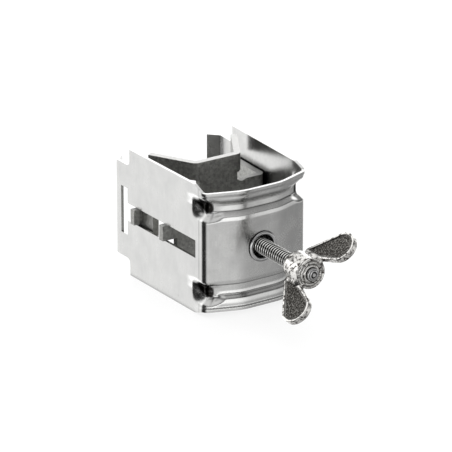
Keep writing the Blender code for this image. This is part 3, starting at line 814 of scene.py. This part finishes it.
def make_jaw(material):
    arm_end = Vector((JAW_BEND_X + ARM_LENGTH * sin(ARM_FROM_Y_AXIS),
                      JAW_Y + ARM_LENGTH * cos(ARM_FROM_Y_AXIS)))
    side_end = Vector((side_face_x(SIDE_END_Y), SIDE_END_Y))
    band = jaw_outline(side_face_x(JAW_Y), side_end)
    arms = jaw_outline(JAW_BEND_X, arm_end)
    plate_y = (JAW_Y, JAW_Y + JAW_SHEET)
    tab_z = (-TAB_HALF_HEIGHT, TAB_HALF_HEIGHT)
    jaw = add_object("bent_jaw", prism(band, -BAND_HALF_HEIGHT, BAND_HALF_HEIGHT), material)
    middle_y = JAW_Y + JAW_SHEET / 2
    steps = []
    for side in (1, -1):
        web_z = span(side, BAND_HALF_HEIGHT - OVERLAP, ARM_LOW_EDGE + OVERLAP)
        steps += [('UNION', prism(arms, *span(side, ARM_LOW_EDGE, JAW_HALF_HEIGHT))),
                  ('UNION', box((-JAW_BEND_X + OVERLAP, JAW_BEND_X - OVERLAP), plate_y, web_z))]
        for hand in (1, -1):
            notch = pin(RELIEF_RADIUS)
            bmesh.ops.translate(notch, verts=notch.verts, vec=(hand * RELIEF_X, middle_y, side * RELIEF_Z))
            steps.append(('DIFFERENCE', notch))
    for hand in (1, -1):
        window = box(span(hand, WINDOW_X, CORNER_X + CUT_REACH), (JAW_Y - OVERLAP, WINDOW_END_Y),
                     (-WINDOW_HALF_HEIGHT, WINDOW_HALF_HEIGHT))
        front_tab = box(span(hand, WINDOW_X - TAB_ROOT, wall_x(JAW_Y) + TAB_REACH), plate_y, tab_z)
        rear_tab = box(span(hand, side_face_x(SIDE_END_Y) - JAW_SHEET / 2, wall_x(SIDE_END_Y) + TAB_REACH),
                       (SIDE_END_Y - JAW_SHEET, SIDE_END_Y - TAB_INSET), tab_z)
        steps += [('DIFFERENCE', window), ('UNION', front_tab), ('UNION', rear_tab)]
    hole = pin(JAW_HOLE_RADIUS)
    bmesh.ops.translate(hole, verts=hole.verts, vec=(0.0, middle_y, 0.0))
    steps.append(('DIFFERENCE', hole))
    cut(jaw, steps)
    round_edges(jaw, JAW_EDGE_ROUND, 40.0)
    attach(jaw, "jaw")
    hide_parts("pressure_jaw")


# ---- bush, washers and clip

def make_bush(material):
    barrel = BUSH_HOLE_RADIUS - GAP
    rim_back = -GAP
    nut_front = SHEET + GAP
    nut_back = nut_front + NUT_LENGTH
    mouth = table_points(BUSH_MOUTH, 0.0, rim_back - RIM_THICKNESS)
    rim_edge = (RIM_RADIUS, rim_back)
    profile = mouth + [rim_edge, (barrel, rim_back), (barrel, nut_front),
                       (NUT_RADIUS - NUT_CHAMFER, nut_front), (NUT_RADIUS, nut_front + NUT_CHAMFER),
                       (NUT_RADIUS, nut_back - NUT_CHAMFER), (NUT_RADIUS - NUT_CHAMFER, nut_back),
                       (BORE_RADIUS + 0.45 * MM, nut_back), (BORE_RADIUS, nut_back - 0.5 * MM)]
    bush = add_object("turned_bush", turned(profile, closed=True), material)
    # painted shade rings at the corners of the bush's mouth and rim
    paint_shade_rings(bush, (mouth[1], mouth[2], mouth[-1], rim_edge))
    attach(bush, "clamp")
    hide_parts("threaded_bush")


def make_washer(name, node, y, material):
    inner, outer, edge, back = NECK_RADIUS + GAP, WASHER_RADIUS, WASHER_CHAMFER, y + WASHER_THICKNESS
    profile = [(inner, y + edge), (inner + edge, y), (outer - edge, y), (outer, y + edge),
               (outer, back - edge), (outer - edge, back), (inner + edge, back), (inner, back - edge)]
    washer = add_object(name, turned(profile, closed=True), material)
    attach(washer, "jaw")
    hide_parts(node)


def make_clip(material):
    """A spring clip pressed into the groove: a flat C with three inner lobes."""
    outer, inner = CLIP_RADII
    steps = 72
    outline = []
    for radius, outside in ((outer, True), (inner, False)):
        for i in range(steps + 1):
            share = i / steps if outside else 1.0 - i / steps
            angle = -pi / 2 + CLIP_HALF_MOUTH + (2 * pi - 2 * CLIP_HALF_MOUTH) * share
            between_lobes = 1.0 - abs(sin(1.5 * (angle + pi / 2)))
            reach = radius if outside else radius + CLIP_LOBE * between_lobes
            outline.append((reach * cos(angle), reach * sin(angle)))
    bm = bmesh.new()
    front = [bm.verts.new((x, CLIP_Y, z)) for x, z in outline]
    back = [bm.verts.new((x, CLIP_Y + CLIP_THICKNESS, z)) for x, z in outline]
    count = len(outline)
    for i in range(steps):
        far = count - 1 - i
        bm.faces.new((front[i], front[i + 1], front[far - 1], front[far]))
        bm.faces.new((back[far], back[far - 1], back[i + 1], back[i]))
    for i in range(count):
        j = (i + 1) % count
        bm.faces.new((front[i], back[i], back[j], front[j]))
    clip = add_object("spring_clip", bm, material)
    round_edges(clip, 0.12 * MM, 60.0)
    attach(clip, "screw")
    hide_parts("retaining_clip")


# ---- screw

def thread_radius(share):
    """Radius over one pitch: share 0 is the middle of a crest, 0.5 the middle of a root."""
    away = abs(share - round(share)) * 2.0
    return THREAD_RADIUS - THREAD_DEPTH * smooth_step((away - CREST_FLAT) / THREAD_FLANK)


def make_thread(material):
    """The rolled thread: rows that climb with the helix, with the points past either end held there."""
    start, end = THREAD_START_Y, SHOULDER_Y
    per_turn, around = 12, 60
    turns = int((end - start) / THREAD_PITCH) + 2
    bm = bmesh.new()
    rows = []
    crests = []
    for i in range(turns * per_turn):
        row = []
        for k in range(around):
            rise = i / per_turn + k / around - 1.0
            y = min(max(start + rise * THREAD_PITCH, start), end)
            radius = thread_radius(rise)
            for edge in (y - start, end - y):
                radius = min(radius, THREAD_RADIUS - THREAD_CHAMFER + edge)
            angle = 2 * pi * k / around
            row.append(bm.verts.new((radius * cos(angle), y, radius * sin(angle))))
            crests.append((radius - THREAD_RADIUS + THREAD_DEPTH) / THREAD_DEPTH)
        rows.append(row)
    for i in range(len(rows) - 1):
        for k in range(around - 1):
            bm.faces.new((rows[i][k], rows[i][k + 1], rows[i + 1][k + 1], rows[i + 1][k]))
        if i + per_turn + 1 < len(rows):
            bm.faces.new((rows[i][-1], rows[i + per_turn][0], rows[i + per_turn + 1][0], rows[i + 1][-1]))
    thread = add_object("rolled_thread", bm, material, sharp_angle=80.0)
    stored(thread, "crest", crests)
    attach(thread, "screw")
    return thread


def make_spindle(thread_material, material):
    """The thread, its turned-down end behind the jaw's plate, and its end riveted over the hub."""
    pieces = [make_thread(thread_material)]
    root = THREAD_RADIUS - THREAD_DEPTH
    groove_start, groove_end = CLIP_GROOVE_Y
    neck = [(0.0, SHOULDER_Y - 0.5 * MM), (root, SHOULDER_Y - 0.5 * MM), (root, SHOULDER_Y),
            (NECK_RADIUS, SHOULDER_Y), (NECK_RADIUS, groove_start), (CLIP_GROOVE_RADIUS, groove_start),
            (CLIP_GROOVE_RADIUS, groove_end), (NECK_RADIUS, groove_end), (NECK_RADIUS, TAIL_Y - 0.5 * MM),
            (NECK_RADIUS - 0.2 * MM, TAIL_Y - 0.15 * MM), (NECK_RADIUS - 0.6 * MM, TAIL_Y), (0.0, TAIL_Y)]
    head = table_points(RIVET_HEAD, 0.0, RIVET_Y, (1, -1))
    rivet = head + [(SHANK_RADIUS, RIVET_Y + 0.2 * MM), (SHANK_RADIUS, HUB_Y[1] + 1 * MM),
                    (0.0, HUB_Y[1] + 1 * MM)]
    for name, profile in (("spindle_neck", neck), ("spindle_rivet", rivet)):
        piece = add_object(name, turned(profile), material)
        # painted shade rings at the corners of the rivet's head
        paint_shade_rings(piece, [head[i] for i in RIVET_SHADE_RINGS])
        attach(piece, "screw")
        pieces.append(piece)
    for piece in pieces:
        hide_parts("screw_spindle")


# ---- wing head

def tangent_point(point, centre, radius, side):
    """Where a line from the point touches the circle, anticlockwise (side 1) or clockwise of it."""
    to_point = point - centre
    angle = acos(radius / to_point.length)
    return centre + Matrix.Rotation(side * angle, 2) @ to_point.normalized() * radius


def wing_outline():
    """One wing in its own plane, as (distance from the axis, y), anticlockwise."""
    steps = 40
    tip = Vector(WING_TIP)
    front = Vector((HUB_RADIUS - 0.2 * MM, WING_ROOT_Y[0]))
    back = Vector((WING_ROOT_RADIUS, WING_ROOT_Y[1]))
    first = tangent_point(front, tip, WING_TIP_RADIUS, 1) - tip
    last = tangent_point(back, tip, WING_TIP_RADIUS, -1) - tip
    sweep = (atan2(last.y, last.x) - atan2(first.y, first.x)) % (2 * pi)
    arc = [tip + Matrix.Rotation(sweep * i / steps, 2) @ first for i in range(steps + 1)]
    return [Vector((WING_INSIDE, WING_ROOT_Y[0])), front, *arc, back, Vector((WING_INSIDE, WING_ROOT_Y[1]))]


def inset(point, rim):
    """How far a point lies inside the wing's free rim, an open convex path that runs anticlockwise."""
    least = 1.0
    for a, b in zip(rim, rim[1:]):
        along = b - a
        side = (along.x * (point.y - a.y) - along.y * (point.x - a.x)) / along.length
        least = min(least, side)
    return least


def wing_solid(outline, turn):
    """A flat wing, drawn upright and then turned into its plane."""
    bm = prism(outline, -WING_THICKNESS / 2, WING_THICKNESS / 2)
    bmesh.ops.transform(bm, matrix=wing_plane(turn), verts=bm.verts)
    return bm


def wing_plane(turn):
    """From (radius, y, thickness) in a wing to the clamp's axes."""
    return Matrix.Rotation(-WING_ANGLE + turn, 4, 'Y')


def hub_profile():
    """The hub from its bore round: a ridged face inside a rounded bead, and the barrel behind it."""
    front, back = HUB_Y
    bore = SHANK_RADIUS + GAP
    return [(bore, front - HUB_FACE_PROUD), *table_points(HUB_FACE, 0.0, front),
            *table_points(HUB_BARREL, HUB_RADIUS, front, (-1, 1)),
            *table_points(HUB_REAR, HUB_RADIUS, back, (-1, -1)), (bore, back)]


def root_lump(turn):
    """The swelling of the casting where a wing grows out of the hub."""
    bm = bmesh.new()
    bmesh.ops.create_icosphere(bm, subdivisions=4, radius=1.0)
    place = wing_plane(turn) @ Matrix.Translation(ROOT_LUMP_AT)
    size = Matrix.Diagonal((*ROOT_LUMP_SIZE, 1.0))
    bmesh.ops.transform(bm, matrix=place @ size, verts=bm.verts)
    return bm


def hub_shade_line(away, y):
    """How far a point of the hub lies in a line of painted shade, in its face or behind its bead."""
    front = HUB_Y[0]
    face = max(line_share(away - radius, FACE_SHADE_WIDTH) for radius in HUB_FACE_SHADE_RADII)
    face *= smooth_step((front + 1.3 * MM - y) / (0.4 * MM))
    bead = line_share(y - front - HUB_BEAD, BEAD_SHADE_WIDTH)
    bead *= smooth_step((away - HUB_RADIUS + 1.2 * MM) / (0.4 * MM)) * (away < HUB_RADIUS + 0.5 * MM)
    return max(0.7 * face, 0.8 * bead)


def sculpt_casting(mesh, rim):
    """Hollows the wing faces inside their rims and roughens them. Returns, for each vertex, how far it
    belongs to the grainy face and how far to a line of painted shade."""
    grain = []
    line = []
    for vertex in mesh.vertices:
        point = vertex.co.copy()
        plane = wing_plane(0.0 if (point.x + point.z) > 0 else pi)
        local = plane.inverted() @ point
        depth = inset(Vector((local.x, local.y)), rim)
        away = hypot(point.x, point.z)
        flat = smooth_step((abs(local.z) - 0.6 * MM) / (0.5 * MM))
        open_wing = flat * smooth_step((away - HUB_RADIUS - 0.6 * MM) / (1.2 * MM))
        share = open_wing * smooth_step((depth - WING_RIM) / (0.7 * MM))
        rough = noise.noise(point / MM * 1.3) + 0.6 * noise.noise(point / MM * 2.6)
        lumps = noise.noise(point / MM * 0.35)
        hollow = (WING_HOLLOW + FACE_ROUGHNESS * rough) * share
        normal = plane.to_3x3() @ Vector((0.0, 0.0, copysign(1.0, local.z)))
        off_face = smooth_step((point.y - HUB_Y[0] - 2 * MM) / (2 * MM))
        swell = CAST_SWELL * lumps * (1.0 - share) * off_face
        outward = Vector((point.x, 0.0, point.z)).normalized()
        vertex.co = point - normal * hollow + outward * swell
        grain.append(share)
        # painted shade line where the hollow face meets its rim, and in the hub's grooves
        rim_shade_line = open_wing * line_share(depth - WING_RIM, RIM_SHADE_WIDTH)
        line.append(max(rim_shade_line, hub_shade_line(away, point.y)))
    return grain, line


def make_wing_head(material):
    outline = wing_outline()
    head = add_object("cast_wing_head", turned(hub_profile(), closed=True), material)
    tools = [('UNION', wing_solid(outline, turn)) for turn in (0.0, pi)]
    tools += [('UNION', root_lump(turn)) for turn in (0.0, pi)]
    cut(head, tools)
    remesh = head.modifiers.new("remesh", 'REMESH')
    remesh.mode = 'VOXEL'
    remesh.voxel_size = CAST_VOXEL
    smooth = head.modifiers.new("smooth", 'SMOOTH')
    smooth.factor = 0.5
    smooth.iterations = 6
    apply_modifiers(head)
    grain, line = sculpt_casting(head.data, outline[1:-1])
    stored(head, "grain", grain)
    # the painted shade lines, for the casting's material
    stored(head, "groove", line)
    head.data.shade_smooth()
    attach(head, "screw")
    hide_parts("wing_head")


# ---- stage

def make_floor():
    shader = Shader("pale_floor", 0.9, 0.7, metallic=0.0)
    paper = shader.noise(0.05, 2.0)
    tone = shader.mix(paper, 0.88, 0.92)
    shader.surface(colour=shader.mix(FLOOR_GLOW, tone, 0.0))
    shader.set(shader.principled, {"Emission Color": tone, "Emission Strength": FLOOR_GLOW * GLOW_GAIN})
    bm = bmesh.new()
    bmesh.ops.create_grid(bm, x_segments=1, y_segments=1, size=3.0)
    floor = add_object("floor", bm, shader.material)
    floor.location = (0.0, 0.0, FLOOR_Z - 0.02 * MM)
    floor.visible_glossy = False


def elevation_tones(nodes, rise, stops):
    """Brightness by the sine of the elevation, from (sine, tone) stops."""
    shifted = nodes.ramp(rise, -1.0, 1.0)
    ramp = nodes.add("ValToRGB", {"Fac": shifted})
    while len(ramp.color_ramp.elements) < len(stops):
        ramp.color_ramp.elements.new(0.5)
    for element, (sine, tone) in zip(ramp.color_ramp.elements, stops):
        element.position = (sine + 1) / 2
        element.color = rgba(tone / FULL_TONE)
    return nodes.math('MULTIPLY', ramp.outputs["Color"], FULL_TONE)


def make_world():
    """The studio as the metal mirrors it: bright behind; in front a light strip just below eye level with
    a dark band above it, dimmer towards the right; and one dark upright flag on the left."""
    world = bpy.data.worlds.new("studio")
    bpy.context.scene.world = world
    world.use_nodes = True
    nodes = Nodes(world.node_tree)
    coords = nodes.add("TexCoord")
    split = nodes.add("SeparateXYZ", {0: coords.outputs["Generated"]})
    across, along, rise = split.outputs
    front = elevation_tones(nodes, rise, FRONT_TONES)
    rear = elevation_tones(nodes, rise, REAR_TONES)
    turn = nodes.math('ARCTAN2', across, nodes.math('MULTIPLY', along, -1.0))
    to_middle = nodes.ramp(turn, radians(-10), radians(33), 1.03, 0.58)
    to_right = nodes.ramp(turn, radians(33), radians(75), 1.0, 0.76)
    front = nodes.math('MULTIPLY', front, nodes.math('MULTIPLY', to_middle, to_right))
    behind = nodes.ramp(along, 0.0, 0.45, smooth=True)
    tone = nodes.math('ADD', nodes.math('MULTIPLY', rear, behind),
                      nodes.math('MULTIPLY', front, nodes.math('SUBTRACT', 1.0, behind)))
    off_flag = nodes.math('ABSOLUTE', nodes.math('ADD', turn, FLAG_TURN))
    flag = nodes.ramp(off_flag, FLAG_HALF_WIDTH * (1 - FLAG_SOFTNESS), FLAG_HALF_WIDTH * (1 + FLAG_SOFTNESS),
                      FLAG_TONE, 1.0, smooth=True)
    over_flag = nodes.ramp(rise, 0.55, 0.75)
    shade = nodes.math('MAXIMUM', flag, over_flag)
    nodes.set(world.node_tree.nodes["Background"],
              {"Color": nodes.math('MULTIPLY', tone, shade), "Strength": 1.0})


def add_area(name, location, size, power):
    data = bpy.data.lights.new(name, 'AREA')
    data.shape = 'RECTANGLE'
    data.size, data.size_y = size
    data.energy = power
    light = bpy.data.objects.new(name, data)
    light.visible_glossy = False
    light.visible_camera = False
    put(light, location, (Vector(LIGHT_TARGET) - Vector(location)).to_track_quat('-Z', 'Y'))


def make_lights():
    """Soft light for the floor, spread wide enough to leave next to no shadow."""
    add_area("top_softbox", (0.0, 0.0, 1.5), (2.4, 2.4), 14.0)
    add_area("front_softbox", (-0.9, -1.4, 1.2), (1.4, 1.0), 8.0)


def make_camera():
    along = Vector((sin(VIEW_AZIMUTH) * cos(VIEW_ELEVATION),
                    cos(VIEW_AZIMUTH) * cos(VIEW_ELEVATION), -sin(VIEW_ELEVATION)))
    rotation = along.to_track_quat('-Z', 'Y')
    right = rotation @ Vector((1.0, 0.0, 0.0))
    up = rotation @ Vector((0.0, 1.0, 0.0))
    data = bpy.data.cameras.new("camera")
    data.lens = VIEW_LENS
    data.sensor_width = 36.0
    data.clip_end = 20.0
    camera = bpy.data.objects.new("camera", data)
    put(camera, ORIGIN - along * VIEW_DISTANCE + right * VIEW_SHIFT_RIGHT + up * VIEW_SHIFT_UP, rotation)
    bpy.context.scene.camera = camera


# ---- the clamp

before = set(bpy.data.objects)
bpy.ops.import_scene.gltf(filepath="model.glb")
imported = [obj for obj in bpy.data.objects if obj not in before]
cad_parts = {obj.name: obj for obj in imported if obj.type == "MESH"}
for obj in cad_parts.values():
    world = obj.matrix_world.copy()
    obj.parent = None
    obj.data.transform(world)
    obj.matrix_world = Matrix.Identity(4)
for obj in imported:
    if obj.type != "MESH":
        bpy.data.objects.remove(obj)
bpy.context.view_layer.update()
body_low, body_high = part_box("clamp_body")
ORIGIN = Vector((0.0, body_low[1] + LIP_FLARE, (body_low[2] + body_high[2]) / 2))
FLOOR_Z = body_low[2]

washer_metal = turned_metal("washer_metal", 0.4, 0.35)
make_body(sheet_metal())
make_bush(turned_metal("bush_metal", 0.42, 0.25))
make_jaw(plate_metal())
make_washer("front_washer", "thrust_washer", JAW_Y - GAP - WASHER_THICKNESS, washer_metal)
make_washer("back_washer", "rear_washer", JAW_Y + JAW_SHEET + GAP, washer_metal)
make_clip(dark_steel())
make_spindle(thread_metal(), turned_metal("spindle_metal", 0.45, 0.3))
make_wing_head(cast_metal())

make_floor()
make_world()
make_lights()
make_camera()
bpy.context.scene.view_settings.view_transform = 'Standard'
